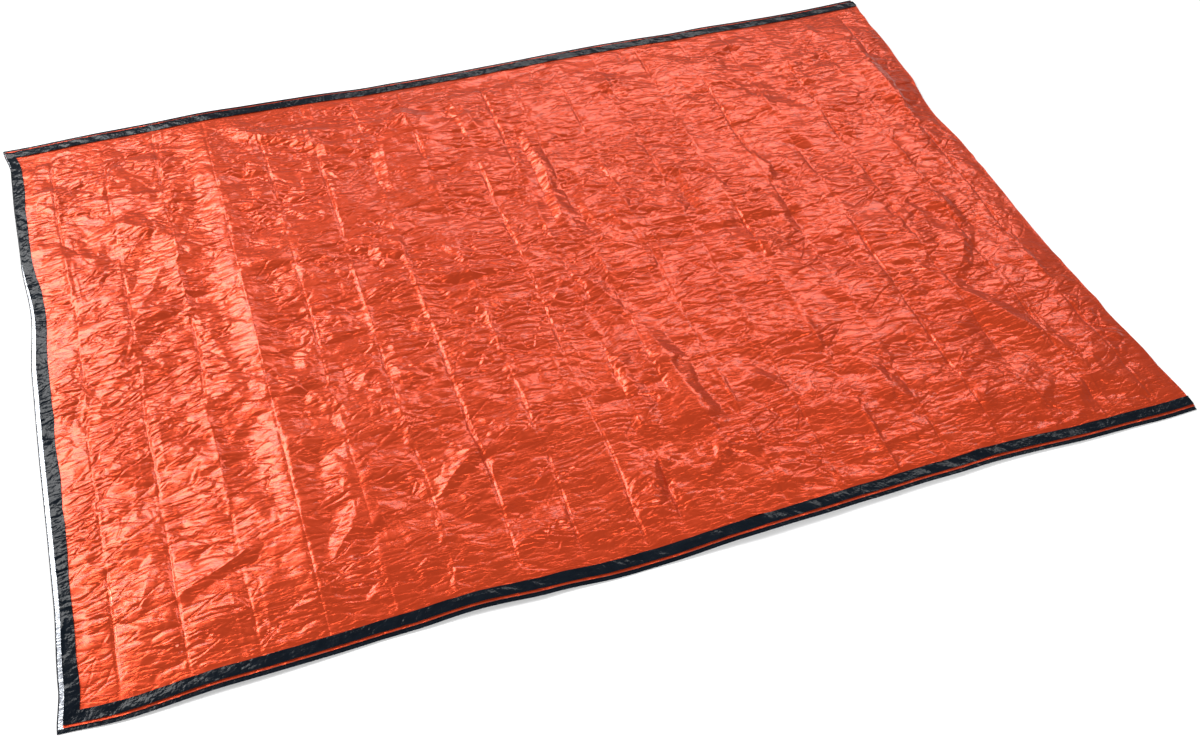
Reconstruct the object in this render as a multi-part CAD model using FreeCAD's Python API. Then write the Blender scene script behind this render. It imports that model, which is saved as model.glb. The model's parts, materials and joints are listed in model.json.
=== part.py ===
import FreeCAD, Part
import os

# A two-person emergency bivy sack lying flat and empty: one metallised film, folded at the foot and
# taped along both long sides, with a tape round its open mouth. All sizes are in millimetres.
# X runs along the sack from the mouth (-X) to the foot (+X), Y runs across it from the near side (-Y)
# to the far side (+Y), and Z is up with the ground at Z = 0.
# The sheets and tapes are cut where they crease, so that each end can fold over the middle and the
# centre of the mouth can be lifted.

# Overall sizes
sack_length = 2130.0        # bottom sheet's mouth edge to the foot fold
sack_width = 1480.0         # over the two lower seam tapes
loft = 18.0                 # ground to the top sheet's outer face, with air and wrinkles between

# Film
film_thickness = 1.5        # stands for the film with its wrinkles
mouth_step = 10.0           # top sheet's mouth edge stops this far short of the bottom sheet's
seam_width = 33.0           # flat strip along each side and the foot where the two sheets meet
side_slope = 80.0           # run over which the top sheet rises from a side seam
foot_slope = 80.0           # run over which it rises from the foot

# Tapes
tape_thickness = 0.6
seam_tape_width = 22.0
mouth_band_width = 22.0
lower_tape_overhang = 8.0   # lower seam tape stands out past the film's cut edge
upper_tape_setback = 4.0    # upper seam tape is set in from the film's cut edge

# Crosswise creases, left by packing the sack
centre_crease_x = 12.0      # crease where the sack is first folded in half
centre_panel_length = 78.0  # from the centre crease to the next one on each side
panel_length = 113.0        # between the others
fold_panels = 4             # full panels on each side of the middle before an end folds over
flap_crease_panels = 5      # full panels before the crease where the mouth lifts
flap_width_at_crease = 500.0
flap_width_at_mouth = 900.0

# Clearances
fold_gap = 1.0              # between the ends and the middle
flap_gap = 1.0              # round the lifting part of the mouth
cut_margin = 5.0            # how far cutting blocks run past what they cut

# Places worked out from the sizes above
mouth_x = -sack_length / 2
foot_x = sack_length / 2
top_mouth_x = mouth_x + mouth_step
mouth_fold_x = centre_crease_x - centre_panel_length - fold_panels * panel_length
foot_fold_x = centre_crease_x + centre_panel_length + fold_panels * panel_length
flap_crease_x = centre_crease_x - centre_panel_length - flap_crease_panels * panel_length
fold_radius = film_thickness
sheet_foot_x = foot_x - fold_radius
tape_outer_y = sack_width / 2
film_edge_y = tape_outer_y - lower_tape_overhang
seam_inner_y = film_edge_y - seam_width
upper_tape_outer_y = film_edge_y - upper_tape_setback
upper_tape_inner_y = upper_tape_outer_y - seam_tape_width
lower_tape_inner_y = tape_outer_y - seam_tape_width
seam_top_z = 2 * film_thickness


def block(x_range, y_range, z_range):
    """A box between two places along each axis."""
    size = [high - low for low, high in (x_range, y_range, z_range)]
    corner = FreeCAD.Vector(x_range[0], y_range[0], z_range[0])
    return Part.makeBox(*size, corner)


def faceted_solid(corners, faces):
    """A solid with flat faces, each a list of corner numbers."""
    points = [FreeCAD.Vector(*corner) for corner in corners]
    flats = []
    for face in faces:
        loop = [points[number] for number in face]
        flats.append(Part.Face(Part.makePolygon(loop + loop[:1])))
    return Part.makeSolid(Part.makeShell(flats))


def raised_block(z_shift, mouth_end_x):
    """The block under the raised middle of the top sheet, which slopes to both sides and the foot."""
    low_z, high_z = film_thickness + z_shift, loft + z_shift
    low_x, high_x = sheet_foot_x - seam_width, sheet_foot_x - seam_width - foot_slope
    low_y, high_y = seam_inner_y, seam_inner_y - side_slope
    corners = [
        (mouth_end_x, -low_y, low_z), (low_x, -low_y, low_z),
        (low_x, low_y, low_z), (mouth_end_x, low_y, low_z),
        (mouth_end_x, -high_y, high_z), (high_x, -high_y, high_z),
        (high_x, high_y, high_z), (mouth_end_x, high_y, high_z),
    ]
    faces = [(0, 3, 2, 1), (4, 5, 6, 7), (0, 1, 5, 4), (1, 2, 6, 5), (2, 3, 7, 6), (3, 0, 4, 7)]
    return faceted_solid(corners, faces)


def top_outside(z_shift=0.0):
    """Everything below the top sheet's outer face and above the bottom sheet."""
    seam_z = (film_thickness, seam_top_z + z_shift)
    seam = block((top_mouth_x, sheet_foot_x), (-film_edge_y, film_edge_y), seam_z)
    return seam.fuse(raised_block(z_shift, top_mouth_x))


def whole_top_sheet():
    hollow = raised_block(-film_thickness, top_mouth_x - cut_margin)
    return top_outside().cut(hollow)


def whole_bottom_sheet():
    """The lower sheet, rebated underneath for the seam tapes and the mouth band."""
    sheet = block((mouth_x, sheet_foot_x), (-film_edge_y, film_edge_y), (0.0, film_thickness))
    everywhere_x = (mouth_x - cut_margin, foot_x + cut_margin)
    rebate_z = (-cut_margin, tape_thickness)
    for side in (-1, 1):
        edges = sorted((side * lower_tape_inner_y, side * (tape_outer_y + cut_margin)))
        sheet = sheet.cut(block(everywhere_x, edges, rebate_z))
    band_x = (mouth_x - cut_margin, mouth_x + mouth_band_width)
    return sheet.cut(block(band_x, (-tape_outer_y, tape_outer_y), rebate_z))


def whole_upper_band():
    """The tape on the outer face of the top sheet along its mouth edge."""
    layer = top_outside(tape_thickness).cut(top_outside())
    reach = block((top_mouth_x, top_mouth_x + mouth_band_width),
                  (-upper_tape_inner_y, upper_tape_inner_y), (0.0, loft + cut_margin))
    return layer.common(reach)


def mouth_lower_band():
    """The tape under the bottom sheet along its mouth edge, between the two seam tapes."""
    return block((mouth_x, mouth_x + mouth_band_width),
                 (-lower_tape_inner_y, lower_tape_inner_y), (0.0, tape_thickness))


def upper_tape(side):
    edges = sorted((side * upper_tape_inner_y, side * upper_tape_outer_y))
    return block((top_mouth_x, sheet_foot_x), edges, (seam_top_z, seam_top_z + tape_thickness))


def lower_tape(side):
    edges = sorted((side * lower_tape_inner_y, side * tape_outer_y))
    return block((mouth_x, sheet_foot_x), edges, (0.0, tape_thickness))


def foot_fold():
    """The half-round edge where the film turns under at the foot."""
    start = FreeCAD.Vector(sheet_foot_x, -film_edge_y, fold_radius)
    rod = Part.makeCylinder(fold_radius, 2 * film_edge_y, start, FreeCAD.Vector(0, 1, 0))
    outer_half = block((sheet_foot_x, foot_x), (-film_edge_y, film_edge_y), (0.0, 2 * fold_radius))
    return rod.common(outer_half)


def flap_block(margin):
    """Upright block over the lifting part of the mouth, grown by a margin."""
    crease_half = flap_width_at_crease / 2 + margin
    mouth_half = flap_width_at_mouth / 2 + margin
    crease_x = flap_crease_x + margin
    outline = [FreeCAD.Vector(crease_x, -crease_half), FreeCAD.Vector(crease_x, crease_half),
               FreeCAD.Vector(mouth_x, mouth_half), FreeCAD.Vector(mouth_x, -mouth_half)]
    return Part.Face(Part.makePolygon(outline + outline[:1])).extrude(FreeCAD.Vector(0, 0, 2 * loft))


def along(shape, section):
    """The part of a full-length sheet or tape that belongs to one section of the sack."""
    low_x, high_x = section_x[section]
    return shape.common(block((low_x, high_x), (-sack_width, sack_width), (-loft, 2 * loft)))


def save(node, shape):
    solids = shape.Solids
    result = solids[0] if len(solids) == 1 else Part.makeCompound(solids)
    result.exportStep(f"parts/{node}.step")
    low, high = result.BoundBox.ZMin, result.BoundBox.ZMax
    print(f"{node}: {len(solids)} solid, {result.Volume / 1000:.1f} cm3, Z {low:.2f} to {high:.2f}")


section_x = {
    "mouth_end": (mouth_x, mouth_fold_x - fold_gap / 2),
    "middle": (mouth_fold_x + fold_gap / 2, foot_fold_x - fold_gap / 2),
    "foot_end": (foot_fold_x + fold_gap / 2, foot_x),
}
sides = {"near": -1, "far": 1}

os.makedirs("parts", exist_ok=True)
top_sheet = whole_top_sheet()
bottom_sheet = whole_bottom_sheet()
upper_band = whole_upper_band()
flap_cut = flap_block(flap_gap / 2)
flap_reach = flap_block(-flap_gap / 2)

for section in section_x:
    sheet_part = along(top_sheet, section)
    if section == "mouth_end":
        sheet_part = sheet_part.cut(flap_cut)
    save(f"{section}_top_sheet", sheet_part)
    save(f"{section}_bottom_sheet", along(bottom_sheet, section))
    for side_name, side in sides.items():
        save(f"{section}_{side_name}_upper_tape", along(upper_tape(side), section))
        save(f"{section}_{side_name}_lower_tape", along(lower_tape(side), section))

for side_name, side in sides.items():
    half = sorted((0.0, side * sack_width))
    side_block = block((mouth_x, mouth_fold_x), half, (0.0, 2 * loft))
    save(f"mouth_{side_name}_upper_band", upper_band.cut(flap_cut).common(side_block))
save("mouth_lower_band", mouth_lower_band())
save("mouth_flap", top_sheet.common(flap_reach))
save("mouth_flap_band", upper_band.common(flap_reach))
save("foot_fold", foot_fold())
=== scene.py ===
import json
import math

import bmesh
import bpy
import numpy as np
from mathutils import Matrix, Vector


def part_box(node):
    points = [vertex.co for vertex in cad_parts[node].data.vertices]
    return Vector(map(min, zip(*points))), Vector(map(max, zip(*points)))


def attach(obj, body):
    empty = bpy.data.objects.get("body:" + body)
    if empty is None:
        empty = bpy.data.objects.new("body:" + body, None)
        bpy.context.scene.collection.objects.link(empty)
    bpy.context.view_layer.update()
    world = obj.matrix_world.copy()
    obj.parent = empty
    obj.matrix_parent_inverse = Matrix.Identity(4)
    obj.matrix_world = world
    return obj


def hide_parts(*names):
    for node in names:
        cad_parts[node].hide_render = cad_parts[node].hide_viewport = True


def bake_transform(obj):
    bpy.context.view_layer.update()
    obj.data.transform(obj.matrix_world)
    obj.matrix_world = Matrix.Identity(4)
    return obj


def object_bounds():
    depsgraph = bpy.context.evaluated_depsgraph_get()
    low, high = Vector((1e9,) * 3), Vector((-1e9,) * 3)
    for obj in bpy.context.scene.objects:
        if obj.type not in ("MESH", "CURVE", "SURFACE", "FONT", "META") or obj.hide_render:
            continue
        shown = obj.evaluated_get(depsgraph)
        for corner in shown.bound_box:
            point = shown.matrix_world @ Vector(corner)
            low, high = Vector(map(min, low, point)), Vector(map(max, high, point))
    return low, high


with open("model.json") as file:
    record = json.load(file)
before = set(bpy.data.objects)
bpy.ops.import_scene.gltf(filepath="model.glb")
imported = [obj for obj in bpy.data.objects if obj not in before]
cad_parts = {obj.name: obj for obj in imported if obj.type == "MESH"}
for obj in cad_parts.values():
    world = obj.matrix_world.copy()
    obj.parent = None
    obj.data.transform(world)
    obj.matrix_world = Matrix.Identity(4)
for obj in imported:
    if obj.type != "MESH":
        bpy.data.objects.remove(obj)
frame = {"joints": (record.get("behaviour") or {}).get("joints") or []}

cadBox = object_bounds()

# Places taken from the frame. Lengths are in metres.
joints = {joint["name"]: joint for joint in frame["joints"]}
mouthFoldX = joints["mouth_end_fold"]["pos_m"][0]
footFoldX = joints["foot_end_fold"]["pos_m"][0]
liftX = joints["mouth_lift"]["pos_m"][0]
mouthX, footX = cadBox[0].x, cadBox[1].x
tapeEdgeY = cadBox[1].y
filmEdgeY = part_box("middle_top_sheet")[1].y
upperTape = (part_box("middle_far_upper_tape")[0].y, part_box("middle_far_upper_tape")[1].y)
lowerTape = (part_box("middle_far_lower_tape")[0].y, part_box("middle_far_lower_tape")[1].y)
upperBand = (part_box("mouth_flap_band")[0].x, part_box("mouth_flap_band")[1].x)
lowerBand = (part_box("mouth_lower_band")[0].x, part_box("mouth_lower_band")[1].x)

folds = {
    "centreX": 0.012,         # crosswise crease where the sack was folded in half
    "centrePanel": 0.078,     # from it to the next crease on each side
    "panel": 0.113,           # between the other crosswise creases
    "perSide": 9,             # creases on each side of the centre one
    "bendOuter": 0.050,       # film that bends at an end fold, on the end's side
    "bendInner": 0.010,       # and on the middle's side
    "lap": 0.010,             # film that runs on under the part that lifts
    "liftSideY": 0.66,        # the mouth's edge lifts between here and the centre
}
mouthBend = (mouthFoldX - folds["bendOuter"], mouthFoldX + folds["bendInner"])
footBend = (footFoldX - folds["bendInner"], footFoldX + folds["bendOuter"])
creaseSteps = folds["centrePanel"] + folds["panel"] * np.arange(folds["perSide"])
creaseX = folds["centreX"] + np.concatenate([-creaseSteps[::-1], [0.0], creaseSteps])


# Noise and folds, on arrays of places
tableSize = 512


def cells(x, y, size):
    u, v = x / size[0], y / size[1]
    i, j = np.floor(u).astype(int), np.floor(v).astype(int)
    return i, j, u - i, v - j


def noise(x, y, size, seed):        # smooth hills, -1 to 1, about one to a cell
    table = np.random.default_rng(seed).uniform(-1, 1, (tableSize, tableSize))
    i, j, s, t = cells(x, y, size)
    s, t = s * s * (3 - 2 * s), t * t * (3 - 2 * t)
    i0, i1, j0, j1 = i % tableSize, (i + 1) % tableSize, j % tableSize, (j + 1) % tableSize
    low = table[i0, j0] * (1 - s) + table[i1, j0] * s
    high = table[i0, j1] * (1 - s) + table[i1, j1] * s
    return low * (1 - t) + high * t


def facets(x, y, size, seed, turn=0.0, wander=0.35):
    # flat triangles between random heights, -1 to 1, as crumpled film has, with edges that wander
    c, s = math.cos(turn), math.sin(turn)
    x, y = c * x - s * y, s * x + c * y
    x, y = (x + wander * size[0] * noise(x, y, size, seed + 1),
            y + wander * size[1] * noise(x, y, size, seed + 2))
    random = np.random.default_rng(seed)
    table = random.uniform(-1, 1, (tableSize, tableSize))
    flip = random.random((tableSize, tableSize)) < 0.5
    i, j, s, t = cells(x, y, size)
    i0, i1, j0, j1 = i % tableSize, (i + 1) % tableSize, j % tableSize, (j + 1) % tableSize
    a, b, c, d = table[i0, j0], table[i1, j0], table[i0, j1], table[i1, j1]
    oneWay = np.where(s > t, a + (b - a) * s + (d - b) * t, a + (c - a) * t + (d - c) * s)
    below = a + (b - a) * s + (c - a) * t
    above = d + (c - d) * (1 - s) + (b - d) * (1 - t)
    return np.where(flip[i0, j0], oneWay, np.where(s + t < 1, below, above))


def ease(value, start, end):        # 0 before start, 1 after end
    s = np.clip((value - start) / (end - start), 0, 1)
    return s * s * (3 - 2 * s)


def throughPoints(points, at):      # a smooth line through a few chosen points
    places, values = np.array(points).T
    i = np.clip(np.searchsorted(places, at) - 1, 0, len(places) - 2)
    s = ease((at - places[i]) / (places[i + 1] - places[i]), 0, 1)
    return values[i] * (1 - s) + values[i + 1] * s


# The sack's outline and how its edges lie, in millimetres out from the straight edge or up from the ground
outline = {
    "far": [(-1.07, 0), (-0.84, 5), (-0.6, 4), (-0.4, 2), (-0.2, -6), (0.1, -3), (0.27, 0), (0.6, -8),
            (0.86, -7), (1.07, 2)],
    "near": [(-1.07, 0), (-0.96, 6), (-0.8, 0), (-0.5, -4), (-0.39, -8), (-0.26, -2), (-0.1, 7), (0.1, 2),
             (0.35, -3), (0.6, -9), (0.85, -1), (1.07, 0)],
    "mouth": [(-0.74, 0), (-0.66, -8), (-0.5, -14), (-0.2, -13), (0.02, -15), (0.19, -24), (0.35, -15),
              (0.55, -12), (0.66, -12), (0.74, 0)],
    "foot": [(-0.74, 0), (-0.6, -7), (-0.45, -20), (-0.2, -27), (0.1, -25), (0.24, -32), (0.42, -17),
             (0.6, -7), (0.74, -3)],
}
lifts = {
    "far": [(-1.07, 0.5), (-0.84, 3), (-0.6, 9), (-0.4, 6), (-0.1, 2), (0.3, 5), (0.6, 7), (0.86, 3),
            (1.07, 2)],
    "near": [(-1.07, 0.5), (-0.8, 5), (-0.55, 2), (-0.35, 6), (-0.1, 1), (0.15, 8), (0.45, 6), (0.75, 3),
             (1.07, 1)],
    "mouth": [(-0.74, 0.5), (-0.5, 5), (-0.3, 2), (0.0, 6), (0.25, 4), (0.5, 6), (0.74, 0.5)],
    "foot": [(-0.74, 1), (-0.5, 3), (-0.2, 1), (0.2, 2), (0.45, 4), (0.74, 2)],
}
edgeReach = 0.22              # how far in from an edge its shape is felt


def edgeShares(u, v):               # how near a place is to each edge, 1 on the edge itself
    return {
        "far": ease(v, tapeEdgeY - edgeReach, tapeEdgeY),
        "near": ease(-v, tapeEdgeY - edgeReach, tapeEdgeY),
        "mouth": ease(-u, -mouthX - edgeReach, -mouthX),
        "foot": ease(u, footX - edgeReach, footX),
    }


def spread(u, v):                   # the place on the ground of a place on the flat film
    share = edgeShares(u, v)
    pucker = 0.0022 * noise(u, v, (0.09, 0.3), 401) * np.maximum(share["far"], share["near"])
    wave = 0.003 * facets(u, v, (0.3, 0.05), 404) * share["foot"] ** 2
    x = u + wave + 0.001 * (throughPoints(outline["foot"], v) * share["foot"]
                            - throughPoints(outline["mouth"], v) * share["mouth"])
    y = v + pucker + 0.001 * (throughPoints(outline["far"], u) * share["far"]
                              - throughPoints(outline["near"], u) * share["near"])
    return x, y


def groundLift(u, v):               # how far the edges ride up off the ground
    share = edgeShares(u, v)
    sides = throughPoints(lifts["far"], u) * share["far"] ** 2
    sides = sides + throughPoints(lifts["near"], u) * share["near"] ** 2
    ends = throughPoints(lifts["mouth"], v) * share["mouth"] ** 2
    ends = ends + throughPoints(lifts["foot"], v) * share["foot"] ** 2
    return 0.001 * np.maximum(sides, ends)


# The top film's relief, in millimetres
relief = {
    "base": 7.4,              # middle of the film above the ground
    "swell": 1.0, "big": 2.6, "medium": 4.4, "small": 2.6, "tiny": 0.7,
    "panelTilt": 2.5,         # creases stand above and below each other
    "crease": 4.6,            # ridge or valley at each crease
    "creaseCrumple": 1.5,     # small crumples strung along it
    "wrinkle": 1.05,          # fine wrinkles that run from crease to crease
    "wrinkleLine": 1.8,       # long narrow valleys among them
    "least": 0.9, "most": 26.0,
    "strongFold": 0.85,       # share of the heights listed below that is used
    "clear": 2.2,             # room for the bottom film's own folds
    "bendMost": 15.0,         # where the sack folds
    "liftBase": 12.5,         # along the crease where the mouth lifts
}
# Strong single folds: from x, y, to x, y, in metres, height in millimetres, then how wide each is on its
# left and on its right, in metres
strongFolds = [
    (-0.215, 0.610, -0.120, 0.560, 9, 0.020, 0.045),
    (-0.130, 0.625, -0.165, 0.560, -6, 0.018, 0.018),
    (-0.620, 0.670, -0.290, 0.485, 9, 0.050, 0.016),
    (-0.292, 0.520, -0.290, 0.325, -7, 0.018, 0.012),
    (-0.460, 0.500, -0.310, 0.470, 6, 0.012, 0.034),
    (0.046, 0.490, 0.040, 0.100, -9, 0.012, 0.010),
    (0.066, 0.480, 0.060, 0.090, 6, 0.010, 0.028),
    (0.100, 0.250, 0.107, 0.040, -6, 0.008, 0.014),
    (0.347, 0.225, 0.335, 0.055, -7, 0.010, 0.014),
    (-0.640, 0.205, -0.505, 0.192, 9, 0.030, 0.013),
    (-0.870, 0.420, -0.760, 0.345, 7, 0.030, 0.012),
    (-0.860, 0.100, -0.745, 0.135, 6, 0.026, 0.012),
    (-0.402, 0.205, -0.290, 0.140, 8, 0.034, 0.013),
    (-0.402, 0.040, -0.300, 0.070, 7, 0.026, 0.012),
    (-0.290, 0.060, -0.050, 0.022, 5, 0.026, 0.012),
    (-0.860, 0.020, -0.040, 0.014, -3.5, 0.010, 0.009),
    (0.010, 0.014, 0.720, 0.008, -3, 0.008, 0.009),
    (0.025, -0.010, 0.110, -0.190, 6, 0.016, 0.020),
    (-0.060, -0.110, 0.020, -0.020, 6, 0.014, 0.022),
    (0.107, -0.180, 0.142, -0.570, 17, 0.024, 0.060),
    (0.100, -0.200, -0.010, -0.330, 6, 0.014, 0.030),
    (0.035, -0.240, 0.030, -0.500, 6, 0.012, 0.030),
    (0.030, -0.500, -0.050, -0.650, 8, 0.014, 0.040),
    (0.140, -0.560, 0.060, -0.600, 7, 0.014, 0.036),
    (0.205, -0.515, 0.120, -0.560, 6, 0.012, 0.030),
    (0.690, -0.160, 0.925, -0.560, 8, 0.016, 0.040),
    (0.880, -0.010, 0.893, -0.140, 8, 0.014, 0.034),
    (0.893, -0.140, 0.780, -0.290, 8, 0.014, 0.034),
    (0.535, 0.260, 0.552, 0.125, 7, 0.010, 0.028),
    (0.545, 0.090, 0.545, -0.060, -5, 0.010, 0.012),
    (0.750, 0.420, 0.885, 0.482, 8, 0.030, 0.012),
    (0.745, 0.500, 0.885, 0.535, 7, 0.026, 0.012),
    (0.565, 0.590, 0.690, 0.650, 8, 0.030, 0.013),
    (0.975, 0.560, 0.985, 0.215, 9, 0.016, 0.040),
    (-0.398, -0.490, -0.270, -0.395, 9, 0.040, 0.014),
    (-0.620, -0.165, -0.520, -0.140, 8, 0.034, 0.013),
    (-0.620, -0.600, -0.500, -0.440, 8, 0.016, 0.044),
    (-0.860, -0.560, -0.690, -0.480, 6, 0.030, 0.013),
    (-0.960, -0.240, -0.870, -0.300, 6, 0.024, 0.012),
    (0.255, -0.380, 0.330, -0.470, 6, 0.012, 0.030),
    (0.480, -0.430, 0.540, -0.560, 7, 0.012, 0.034),
    (0.350, -0.640, 0.540, -0.625, 6, 0.026, 0.012),
    (-0.300, -0.640, -0.170, -0.600, 6, 0.026, 0.012),
    (-0.060, 0.640, -0.030, 0.470, 6, 0.012, 0.026),
]


def strongFold(x, y, fold):         # a sharp ridge or valley with ragged flanks
    x0, y0, x1, y1, height, left, right = fold
    length = math.hypot(x1 - x0, y1 - y0)
    ax, ay = (x1 - x0) / length, (y1 - y0) / length
    along = ((x - x0) * ax + (y - y0) * ay) / length
    across = (y - y0) * ax - (x - x0) * ay
    near = (np.abs(across) < 1.5 * max(left, right) + 0.02) & (along > -0.1) & (along < 1.1)
    x, y, along, across = x[near], y[near], along[near], across[near]
    across = across + 0.006 * noise(x, y, (0.08, 0.08), 71) + 0.0022 * facets(x, y, (0.03, 0.03), 73)
    ragged = 1 + 0.25 * facets(x, y, (0.045, 0.03), 75)
    width = 0.010 + np.where(across > 0, left, right) * ragged
    tip = np.clip(1.08 - np.abs(2 * along - 1), 0, 0.6) / 0.6
    shape = np.zeros(near.shape)
    shape[near] = relief["strongFold"] * height * tip * ragged * np.clip(1 - np.abs(across) / width, 0, 1)
    return shape


def panelOf(u, v):                  # crosswise creases wander a little
    wander = 0.0035 * noise(u, v, (0.3, 0.16), 11) + 0.0015 * facets(u, v, (0.2, 0.045), 12)
    at = u + wander
    index = np.searchsorted(creaseX, at)
    edges = np.concatenate([[creaseX[0] - folds["panel"]], creaseX, [creaseX[-1] + folds["panel"]]])
    low, high = edges[index], edges[index + 1]
    return index, (at - low) / (high - low), at - low, high - at


def creaseTilt(u, v):               # film pulled taut from each crease to the next
    index, part, before, after = panelOf(u, v)
    height = 0
    for share, size, seed in ((1.0, 0.13, 21), (0.9, 0.052, 27), (0.45, 0.023, 28)):
        low = facets(index * 1.0, v, (0.61, size), seed)
        high = facets(index + 1.0, v, (0.61, size), seed)
        height = height + share * (low * (1 - part) + high * part)
    return relief["panelTilt"] * height


def creaseRelief(u, v):
    index, part, before, after = panelOf(u, v)
    distance = np.minimum(before, after)
    nearer = np.where(part < 0.5, index, index + 1.0)
    strength = noise(nearer, v, (0.37, 0.15), 22) + 0.5 * facets(nearer, v, (0.37, 0.04), 29)
    reach = np.where(part < 0.5, noise(nearer, v, (0.33, 0.11), 30), noise(nearer, v, (0.33, 0.11), 34))
    reach = 0.0105 + 0.0075 * reach
    sharp = np.clip(1 - distance / 0.004, 0, 1)
    pressed = 0.1 + 0.25 * ease(noise(nearer, v, (0.41, 0.14), 36), -0.4, 0.4)
    line = strength * (0.8 * np.exp(-distance / reach) + 0.25 * sharp) - pressed * sharp
    second = noise(nearer, v, (0.43, 0.12), 23) - 0.25
    beside = 0.018 + 0.009 * noise(nearer, v, (0.29, 0.3), 24) + 0.002 * facets(nearer, v, (0.29, 0.05), 35)
    double = np.clip(1 - np.abs(distance - beside) / 0.0042, 0, 1) * np.clip(second, 0, 1)
    strung = ease(noise(nearer, v, (0.31, 0.09), 25), 0.0, 0.4) * np.exp(-(distance / 0.013) ** 2)
    crumple = facets(u, v, (0.012, 0.015), 26, 0.3)
    return relief["crease"] * (line + 0.3 * double) + relief["creaseCrumple"] * strung * crumple


def wrinkles(u, v):                 # they bow and slant a little differently in every panel
    index, part, before, after = panelOf(u, v)
    bow = 0.011 * noise(index * 1.0, v, (0.53, 0.2), 31) * (2 * part - 1) ** 2
    slant = 0.012 * noise(index * 1.0, v, (0.47, 0.22), 32) * (2 * part - 1)
    drift = 0.006 * noise(u, v, (0.06, 0.05), 33)
    across = v + bow + slant + drift + 0.37 * index
    place = u + 0.21 * index
    short = facets(place, across, (0.046, 0.0078), 41, 0.0, 0.5)
    short = short + 0.8 * facets(place, across, (0.030, 0.0120), 44, 0.09, 0.5)
    valley = np.abs(facets(place, across, (0.062, 0.0165), 47))
    crossed = np.abs(facets(place, across + 0.22 * place, (0.058, 0.021), 48))
    slanted = np.abs(facets(place, across - 0.35 * place, (0.070, 0.034), 49))
    lines = -np.clip(1 - valley / 0.2, 0, 1) - 0.8 * np.clip(1 - crossed / 0.15, 0, 1)
    lines = lines - 0.9 * np.clip(1 - slanted / 0.09, 0, 1)
    patch = noise(place, across, (0.085, 0.070), 51) + 0.45 * noise(u, v, (0.35, 0.3), 52)
    patch = 0.06 + 0.94 * ease(patch, -0.05, 0.38)
    edge = 0.3 + 0.7 * ease(np.minimum(before, after), 0.0, 0.010)
    return (relief["wrinkle"] * short * patch + relief["wrinkleLine"] * lines * (0.4 + 0.6 * patch)) * edge


def broadRelief(u, v):
    height = relief["swell"] * noise(u, v, (0.42, 0.34), 3)
    height = height + relief["big"] * facets(u, v, (0.21, 0.17), 5, 0.5)
    height = height + relief["medium"] * facets(u, v, (0.082, 0.070), 7, -0.35)
    return height + creaseTilt(u, v)


def closeRelief(u, v):
    calm = 0.3 + 0.7 * ease(noise(u, v, (0.12, 0.09), 61), -0.25, 0.3)
    height = relief["small"] * facets(u, v, (0.037, 0.033), 9, 0.3) * calm
    height = height + relief["tiny"] * facets(u, v, (0.015, 0.014), 13, -0.4) * calm
    return height + creaseRelief(u, v) + wrinkles(u, v)


# How far apart the layers lie, and the film's plain margin at the taped seams, in metres
seamWidth = 0.033
stack = {"bottom": 0.0006, "film": 0.0007, "tape": 0.0005, "bottomUp": 0.0002, "lining": 0.0004,
         "underside": 0.0002, "lap": 0.0012}
slideFar = 0.007              # the top film's mouth edge nearly meets the lower film's at the far side


def bottomPlace(u, v):
    x, y = spread(u, v)
    inside = ease(filmEdgeY - np.abs(v), 0.02, 0.10) * ease(footX - u, 0.0, 0.08)
    inside = inside * ease(u - mouthX, 0.02, 0.10)
    folded = 0.9 * facets(u, v, (0.090, 0.055), 81, 0.3) + 0.5 * facets(u, v, (0.040, 0.026), 84, -0.2)
    return x, y, groundLift(u, v) + stack["bottom"] + stack["bottomUp"] + 0.001 * inside * (1.6 + folded)


def softFloor(height, least, reach):
    return least + reach * np.logaddexp(0, (height - least) / reach)


def topPlace(u, v):
    x, y = spread(u, v)
    inFromSide = filmEdgeY - np.abs(v)
    inFromFoot = footX - u
    inFromMouth = u - upperBand[0]
    wide = ease(inFromSide, 0.02, 0.15) * ease(inFromFoot, -0.02, 0.10)
    wide = wide * (0.25 + 0.75 * ease(inFromMouth, 0.0, 0.14))
    narrow = ease(inFromSide, seamWidth * 0.75, seamWidth * 1.25) * ease(inFromFoot, 0.0, 0.03)
    narrow = narrow * (0.5 + 0.5 * ease(inFromMouth, upperBand[1] - upperBand[0], 0.05))
    x = x - slideFar * ease(v, 0.05, 0.40) * (1 - ease(inFromMouth, 0.0, 0.20))
    fromLift = np.abs(u - liftX)
    level = 1 - ease(fromLift, 0.0, 0.060)
    base = relief["base"] * (1 - level) + relief["liftBase"] * level
    height = wide * (base + broadRelief(u, v) * (1 - 0.6 * level))
    height = height + narrow * (1.8 + closeRelief(u, v) * (1 - 0.5 * level))
    for fold in strongFolds:
        height = height + strongFold(u, v, fold) * narrow * (1 - level)
    fromBend = np.minimum(np.abs(u - mouthFoldX), np.abs(u - footFoldX))
    most = np.minimum(relief["most"], relief["bendMost"] + 110 * fromBend) - relief["clear"]
    height = softFloor(height, relief["least"] * narrow, 0.8)
    height = -softFloor(-height, -most, 1.2)
    seam = 0.35 * (1 + facets(u, v, (0.03, 0.02), 91, 0.2)) * ease(inFromSide, -0.001, 0.01)
    height = height + wide * relief["clear"]
    z = groundLift(u, v) + stack["bottom"] + stack["bottomUp"] + stack["film"]
    return x, y, z + 0.001 * (height + seam)


def crinkle(u, v):                  # the tape's own creases
    broad = facets(u, v, (0.030, 0.012), 95, 0.5) + 0.4 * facets(u, v, (0.015, 0.009), 98, -0.4)
    nip = np.clip(1 - np.abs(facets(u, 0.4 * v, (0.15, 0.15), 101)) / 0.03, 0, 1)     # sharp, right across
    return 0.0008 * (1.4 + broad + 1.1 * nip)


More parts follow.
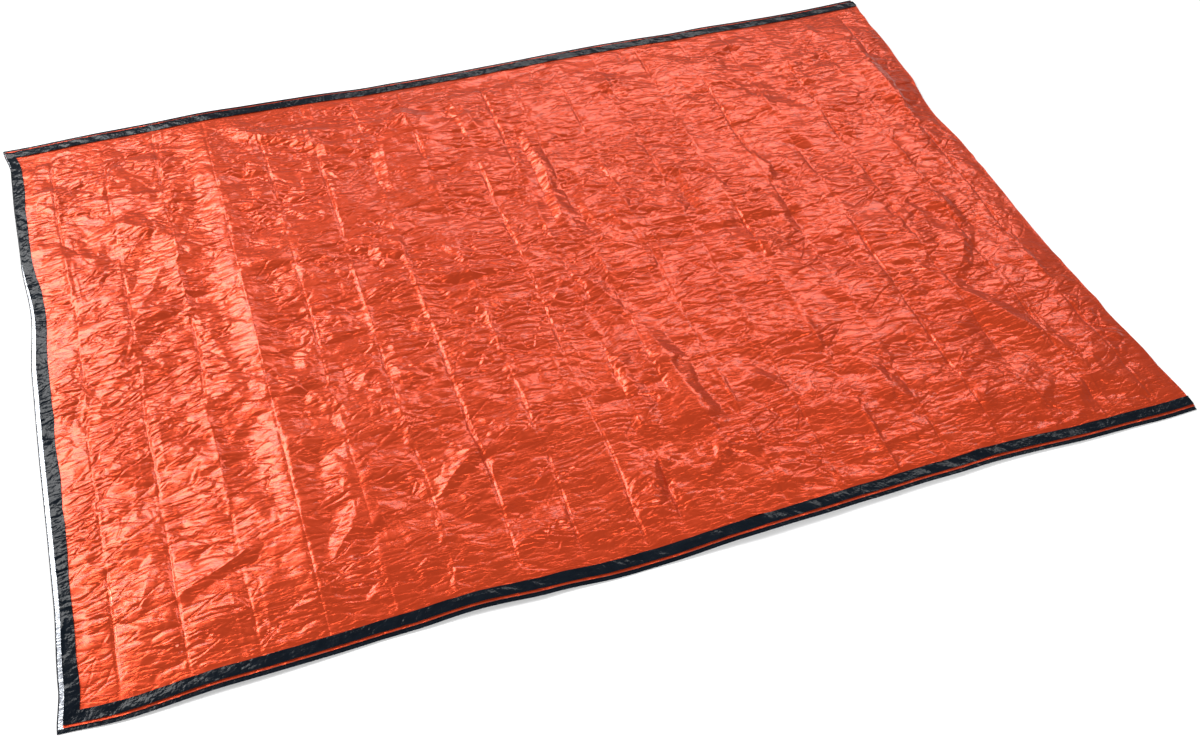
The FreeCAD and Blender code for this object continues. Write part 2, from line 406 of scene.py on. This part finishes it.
def onTop(u, v):                    # tape that lies on the top film
    waver = 0.0035 * noise(u, v * 0, (0.12, 1), 104) + 0.0022 * facets(u, v * 0, (0.05, 1), 107)
    edgeways = 0.003 * noise(u * 0, v, (1, 0.12), 110) + 0.002 * facets(u * 0, v, (1, 0.05), 113)
    side = np.clip((upperTape[1] - np.abs(v)) / (upperTape[1] - upperTape[0]), 0, 1)
    end = np.clip((u - upperBand[0]) / (upperBand[1] - upperBand[0]), 0, 1) * (side >= 1)
    x, y, z = topPlace(u + end * edgeways, v + np.sign(v) * np.where(side < 1, side * waver, 0))
    return x, y, z + stack["tape"] + crinkle(u, v)


def underBottom(u, v):              # tape under the bottom film
    x, y, z = bottomPlace(u, v)
    return x, y, z - stack["bottom"] * 0.6


# Meshes
rowStep = filmEdgeY / 366     # one spacing for all the film's pieces, so that their borders meet


def sheetMesh(name, uRange, vRange, step, place, finish, turned=False):
    columns = max(2, round((uRange[1] - uRange[0]) / step[0]))
    rows = max(2, round((vRange[1] - vRange[0]) / step[1]))
    bm = bmesh.new()
    bmesh.ops.create_grid(bm, x_segments=columns, y_segments=rows, size=0.5)
    if turned:
        bmesh.ops.reverse_faces(bm, faces=bm.faces)
    mesh = bpy.data.meshes.new(name)
    bm.to_mesh(mesh)
    bm.free()
    mesh.materials.append(finishes[finish])
    # worked out one row past the border all round, so that shading runs on from piece to piece
    across = np.linspace(-1 / columns, 1 + 1 / columns, columns + 3)
    along = np.linspace(-1 / rows, 1 + 1 / rows, rows + 3)
    u, v = np.meshgrid(uRange[0] + across * (uRange[1] - uRange[0]),
                       vRange[0] + along * (vRange[1] - vRange[0]))
    at = np.stack(place(u, v), -1)
    normal = np.cross(np.gradient(at, axis=1), np.gradient(at, axis=0))
    inner = np.s_[1:-1, 1:-1]
    mesh.vertices.foreach_set("co", at[inner].ravel())
    corner = np.empty(len(mesh.loops), int)
    mesh.loops.foreach_get("vertex_index", corner)
    uv = mesh.uv_layers.new(name="film")
    uv.data.foreach_set("uv", np.stack([u[inner].ravel()[corner], v[inner].ravel()[corner]], -1).ravel())
    mesh.shade_smooth()
    normal = (normal / np.linalg.norm(normal, axis=-1, keepdims=True))[inner].reshape(-1, 3)
    normal = -normal if turned else normal
    mesh.normals_split_custom_set_from_vertices(normal)
    piece = bpy.data.objects.new(name, mesh)
    bpy.context.scene.collection.objects.link(piece)
    return piece


# Materials
class Value:
    # wraps a socket, so that shader maths reads as plain maths
    def __init__(self, tree, socket):
        self.tree, self.socket = tree, socket

    def maths(self, operation, first, second):
        node = self.tree.nodes.new("ShaderNodeMath")
        node.operation = operation
        for slot, value in zip(node.inputs, (first, second)):
            if isinstance(value, Value):
                self.tree.links.new(value.socket, slot)
            else:
                slot.default_value = value
        return Value(self.tree, node.outputs[0])

    def size(self): return self.maths("ABSOLUTE", self, 0.0)
    def atMost(self, other): return self.maths("MINIMUM", self, other)
    def __add__(self, other): return self.maths("ADD", self, other)
    def __radd__(self, other): return self.maths("ADD", other, self)
    def __sub__(self, other): return self.maths("SUBTRACT", self, other)
    def __rsub__(self, other): return self.maths("SUBTRACT", other, self)
    def __mul__(self, other): return self.maths("MULTIPLY", self, other)
    def __rmul__(self, other): return self.maths("MULTIPLY", other, self)


class Finish:
    def __init__(self, name):
        self.material = bpy.data.materials.new(name)
        self.material.use_nodes = True
        self.tree = self.material.node_tree
        self.surface = self.tree.nodes["Principled BSDF"]

    def node(self, kind, settings, output, **inputs):
        made = self.tree.nodes.new(kind)
        for key, value in settings.items():
            setattr(made, key, value)
        for key, value in inputs.items():
            self.feed(self.find(made.inputs, key), value)
        return Value(self.tree, self.find(made.outputs, output))

    def find(self, sockets, name):      # by identifier where names repeat, or else by name
        matches = [socket for socket in sockets if socket.identifier == name]
        return matches[0] if matches else sockets[name.replace("_", " ")]

    def feed(self, socket, value):
        if isinstance(value, Value):
            self.tree.links.new(value.socket, socket)
        else:
            socket.default_value = value

    def mix(self, share, first, second):
        return self.node("ShaderNodeMix", {"data_type": "RGBA"}, "Result_Color",
                         Factor_Float=share, A_Color=first, B_Color=second)

    def noise(self, vector, scale, detail=2.0):
        return self.node("ShaderNodeTexNoise", {}, "Fac", Vector=vector, Scale=scale, Detail=detail)

    def stretched(self, vector, scale):
        return self.node("ShaderNodeMapping", {}, "Vector", Vector=vector, Scale=scale)

    def place(self):
        return self.node("ShaderNodeUVMap", {"uv_map": "film"}, "UV")

    def bump(self, height, strength, distance):
        return self.node("ShaderNodeBump", {}, "Normal",
                         Height=height, Strength=strength, Distance=distance)

    def set(self, **inputs):
        for key, value in inputs.items():
            self.feed(self.find(self.surface.inputs, key), value)
        return self.material


orangeFilm = {
    "colour": (0.64, 0.060, 0.012, 1), "deepColour": (0.58, 0.045, 0.008, 1),
    "metallic": 0.56, "roughness": 0.28, "roughnessSpread": 0.10, "specular": 0.22,
    "coat": 0.42, "coatRoughness": 0.18, "bump": 0.6, "bumpDepth": 0.0016,
}
silverFilm = {
    # the darker colour is painted shade, laid in thin streaks along the crinkle valleys
    "colour": (0.64, 0.67, 0.71, 1), "dullColour": (0.24, 0.25, 0.28, 1),
    "metallic": 0.8, "roughness": 0.24, "bump": 0.6, "bumpDepth": 0.002,
}
blackTape = {
    "colour": (0.0012, 0.0025, 0.005, 1), "paleColour": (0.005, 0.009, 0.015, 1),
    "roughness": 0.10, "roughnessSpread": 0.16, "specular": 0.16, "bump": 0.8, "bumpDepth": 0.002,
}


def makeOrangeFilm(o):
    finish = Finish("orange film")
    place = finish.place()
    clouds = finish.noise(place, 5.0)
    streaks = finish.noise(finish.stretched(place, (17, 62, 1)), 1.0, 3.0)
    crumbs = finish.noise(place, 75.0, 3.0)
    colour = finish.mix(clouds, o["colour"], o["deepColour"])
    plates = ((streaks - 0.5).size() * 16.0).atMost(1.0)        # parted by thin valleys
    height = plates * 0.45 + (crumbs - 0.5).size() * 0.5
    roughness = o["roughness"] + (clouds - 0.5) * o["roughnessSpread"] + (streaks - 0.5) * 0.1
    return finish.set(
        Base_Color=colour, Roughness=roughness, Metallic=o["metallic"], Specular_IOR_Level=o["specular"],
        Coat_Weight=o["coat"], Coat_Roughness=o["coatRoughness"],
        Normal=finish.bump(height, o["bump"], o["bumpDepth"]))


def makeSilverFilm(s):
    finish = Finish("silver film")
    place = finish.place()
    crumbs = (finish.noise(finish.stretched(place, (45, 110, 1)), 1.0, 3.0) - 0.5).size()
    unshadedShare = (crumbs * 9.0).atMost(1.0)         # painted shade: dark in thin streaks along the crinkle valleys
    # the base colour paints shade into the crinkle valleys as dark streaks
    return finish.set(
        Base_Color=finish.mix(unshadedShare, s["dullColour"], s["colour"]), Metallic=s["metallic"],
        Roughness=s["roughness"] + crumbs * 0.2, Normal=finish.bump(crumbs, s["bump"], s["bumpDepth"]))


def makeBlackTape(t):
    finish = Finish("black tape")
    place = finish.place()
    clouds = finish.noise(place, 40.0, 3.0)
    crinkles = (finish.noise(place, 70.0, 2.0) - 0.5).size()
    return finish.set(
        Base_Color=finish.mix(clouds, t["colour"], t["paleColour"]),
        Roughness=t["roughness"] + clouds * t["roughnessSpread"], Specular_IOR_Level=t["specular"],
        Normal=finish.bump(crinkles, t["bump"], t["bumpDepth"]))


finishes = {
    "film": makeOrangeFilm(orangeFilm),
    "silver": makeSilverFilm(silverFilm),
    "tape": makeBlackTape(blackTape),
}
print("materials made")


# Pieces
def finishPiece(piece, nodes, flat, body=None, bend=None):
    if bend:
        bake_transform(piece)
    else:
        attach(piece, body)
    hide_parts(*nodes)


def bendAcross(zone, end):          # from the middle's side of a fold to the end's
    start, stop = (zone[1], zone[0]) if end == "mouth_end" else (zone[0], zone[1])
    return ("middle", end, (start, 0, 0), (stop, 0, 0))


def sizeOf(uRange, vRange):
    return (vRange[1] - vRange[0], uRange[1] - uRange[0])


sections = [            # name, along the sack, body or bend, CAD section
    ("mouth_end", (None, mouthBend[0]), "mouth_end", None, "mouth_end"),
    ("mouth_bend", mouthBend, None, bendAcross(mouthBend, "mouth_end"), None),
    ("middle", (mouthBend[1], footBend[0]), "middle", None, "middle"),
    ("foot_bend", footBend, None, bendAcross(footBend, "foot_end"), None),
    ("foot_end", (footBend[1], None), "foot_end", None, "foot_end"),
]
filmStep = (0.0025, rowStep)
tapeStep = (0.0025, 0.0022)
bottomStep = (0.0085, 0.0085)


def addTopFilm():
    quarters = np.linspace(-filmEdgeY, filmEdgeY, 5)
    halves, whole = quarters[::2], quarters[::4]
    lifted = (upperBand[0], liftX)
    for side, vRange in (("near", halves[:2]), ("far", halves[1:])):
        edge = -1 if side == "near" else 1
        bend = ("mouth_end", "mouth_flap", (0, edge * folds["liftSideY"], 0), (0, 0, 0))
        nodes = ["mouth_end_top_sheet"] if side == "near" else ["mouth_flap"]
        piece = sheetMesh(f"top_film_mouth_{side}", lifted, vRange, filmStep, topPlace, "film")
        finishPiece(piece, nodes, sizeOf(lifted, vRange),
                    bend=bend)
        piece = sheetMesh(f"top_film_mouth_lining_{side}", lifted, vRange, filmStep, liningPlace, "silver",
                          turned=True)
        finishPiece(piece, [], sizeOf(lifted, vRange), bend=bend)
    runs = [
        ("mouth_strip", (liftX - folds["lap"], mouthBend[0]), "mouth_end", None, whole, []),
        ("mouth_bend", mouthBend, None, bendAcross(mouthBend, "mouth_end"), whole, []),
        ("middle", (mouthBend[1], footBend[0]), "middle", None, quarters, ["middle_top_sheet"]),
        ("foot_bend", footBend, None, bendAcross(footBend, "foot_end"), whole, []),
        ("foot_end", (footBend[1], footX), "foot_end", None, halves, ["foot_end_top_sheet"]),
    ]
    for name, uRange, body, bend, splits, nodes in runs:
        place = lapPlace if name == "mouth_strip" else topPlace
        for number, vRange in enumerate(zip(splits[:-1], splits[1:])):
            label = f"top_film_{name}" + (f"_{number + 1}" if len(splits) > 2 else "")
            piece = sheetMesh(label, uRange, vRange, filmStep, place, "film")
            finishPiece(piece, nodes if number == 0 else [], sizeOf(uRange, vRange),
                        body, bend)


def liningPlace(u, v):              # the film's silver inside
    x, y, z = topPlace(u, v)
    return x, y, z - stack["lining"]


def lapPlace(u, v):                 # the strip that runs on under the part that lifts
    x, y, z = topPlace(u, v)
    return x, y, z - stack["lap"] * ease(liftX - u, -0.001, 0.003)


darkLine = 0.0022             # width of the lower band that shows past the film at the mouth


def addBottomFilm():
    vRange = (-filmEdgeY, filmEdgeY)
    for name, uRange, body, bend, section in sections:
        uRange = (uRange[0] or mouthX + darkLine, uRange[1] or footX)
        nodes = [f"{section}_bottom_sheet"] if section else []
        if section == "foot_end":
            nodes.append("foot_fold")
        piece = sheetMesh(f"bottom_film_{name}", uRange, vRange, bottomStep, bottomPlace, "silver")
        finishPiece(piece, nodes, sizeOf(uRange, vRange), body, bend)
        label = f"bottom_film_{name}_underside"
        piece = sheetMesh(label, uRange, vRange, bottomStep, undersidePlace, "film", turned=True)
        finishPiece(piece, [], sizeOf(uRange, vRange), body, bend)


def undersidePlace(u, v):
    x, y, z = bottomPlace(u, v)
    return x, y, z - stack["underside"]


def addSeamTapes():
    for sideName, side in (("near", -1), ("far", 1)):
        for layer, reach, start, place in (("upper", upperTape, upperBand[0], onTop),
                                           ("lower", lowerTape, mouthX, underBottom)):
            vRange = tuple(sorted((side * reach[0], side * reach[1])))
            for name, uRange, body, bend, section in sections:
                uRange = (uRange[0] or start, uRange[1] or footX)
                label = f"{sideName}_{layer}_tape_{name}"
                piece = sheetMesh(label, uRange, vRange, tapeStep, place, "tape")
                nodes = [f"{section}_{sideName}_{layer}_tape"] if section else []
                finishPiece(piece, nodes, sizeOf(uRange, vRange), body, bend)


def addMouthBands():
    for name, side in (("near", -1), ("far", 1)):
        vRange = tuple(sorted((0.0, side * upperTape[0])))
        piece = sheetMesh(f"mouth_band_{name}", upperBand, vRange, tapeStep, onTop, "tape")
        bend = ("mouth_end", "mouth_flap", (0, side * folds["liftSideY"], 0), (0, 0, 0))
        nodes = [f"mouth_{name}_upper_band"] + (["mouth_flap_band"] if name == "near" else [])
        finishPiece(piece, nodes, sizeOf(upperBand, vRange), bend=bend)
    vRange = (-lowerTape[0], lowerTape[0])
    piece = sheetMesh("mouth_band_lower", lowerBand, vRange, tapeStep, underBottom, "tape")
    finishPiece(piece, ["mouth_lower_band"], sizeOf(lowerBand, vRange), "mouth_end")


addBottomFilm()
addTopFilm()
print("films made")
addSeamTapes()
addMouthBands()
print("tapes made")


# Floor, light and camera
studio = {
    "floor": (0.95, 0.95, 0.95, 1), "floorSize": 30.0, "world": 0.235,
    "key": {"place": (-3.0, 3.6, 4.6), "size": (5.0, 1.8), "watts": 305},
    "side": {"place": (-6.4, 3.0, 2.6), "size": (2.5, 1.5), "watts": 270},
    "right": {"place": (2.8, 4.4, 4.2), "size": (5.0, 1.2), "watts": 100},
    "front": {"place": (0.9, -3.4, 3.8), "size": (3.0, 1.5), "watts": 150},
}


def addFloor():
    bm = bmesh.new()
    bmesh.ops.create_grid(bm, x_segments=1, y_segments=1, size=studio["floorSize"] / 2)
    mesh = bpy.data.meshes.new("floor")
    bm.to_mesh(mesh)
    bm.free()
    floor = bpy.data.objects.new("floor", mesh)
    bpy.context.scene.collection.objects.link(floor)
    finish = Finish("floor")
    mesh.materials.append(finish.set(Base_Color=studio["floor"], Roughness=0.9))


def addLight(name, light):
    lamp = bpy.data.lights.new(name, "AREA")
    lamp.shape = "RECTANGLE"
    lamp.size, lamp.size_y = light["size"]
    lamp.energy = light["watts"]
    holder = bpy.data.objects.new(name, lamp)
    bpy.context.scene.collection.objects.link(holder)
    holder.location = light["place"]
    holder.rotation_euler = (-holder.location).to_track_quat("-Z", "Y").to_euler()


def addCamera():
    camera = bpy.data.objects.new("camera", bpy.data.cameras.new("camera"))
    bpy.context.scene.collection.objects.link(camera)
    camera.location = (-0.653, -1.866, 1.918)
    camera.rotation_euler = [math.radians(angle) for angle in (41.68, -2.12, -19.72)]
    camera.data.sensor_width = 36
    camera.data.lens = 39.3
    bpy.context.scene.camera = camera


addFloor()
for lightName in ("key", "side", "right", "front"):
    addLight(lightName, studio[lightName])
addCamera()
world = bpy.data.worlds.new("studio")
bpy.context.scene.world = world
world.use_nodes = True
world.node_tree.nodes["Background"].inputs["Color"].default_value = (1, 1, 1, 1)
world.node_tree.nodes["Background"].inputs["Strength"].default_value = studio["world"]
bpy.context.scene.view_settings.view_transform = "Standard"
print("studio made")
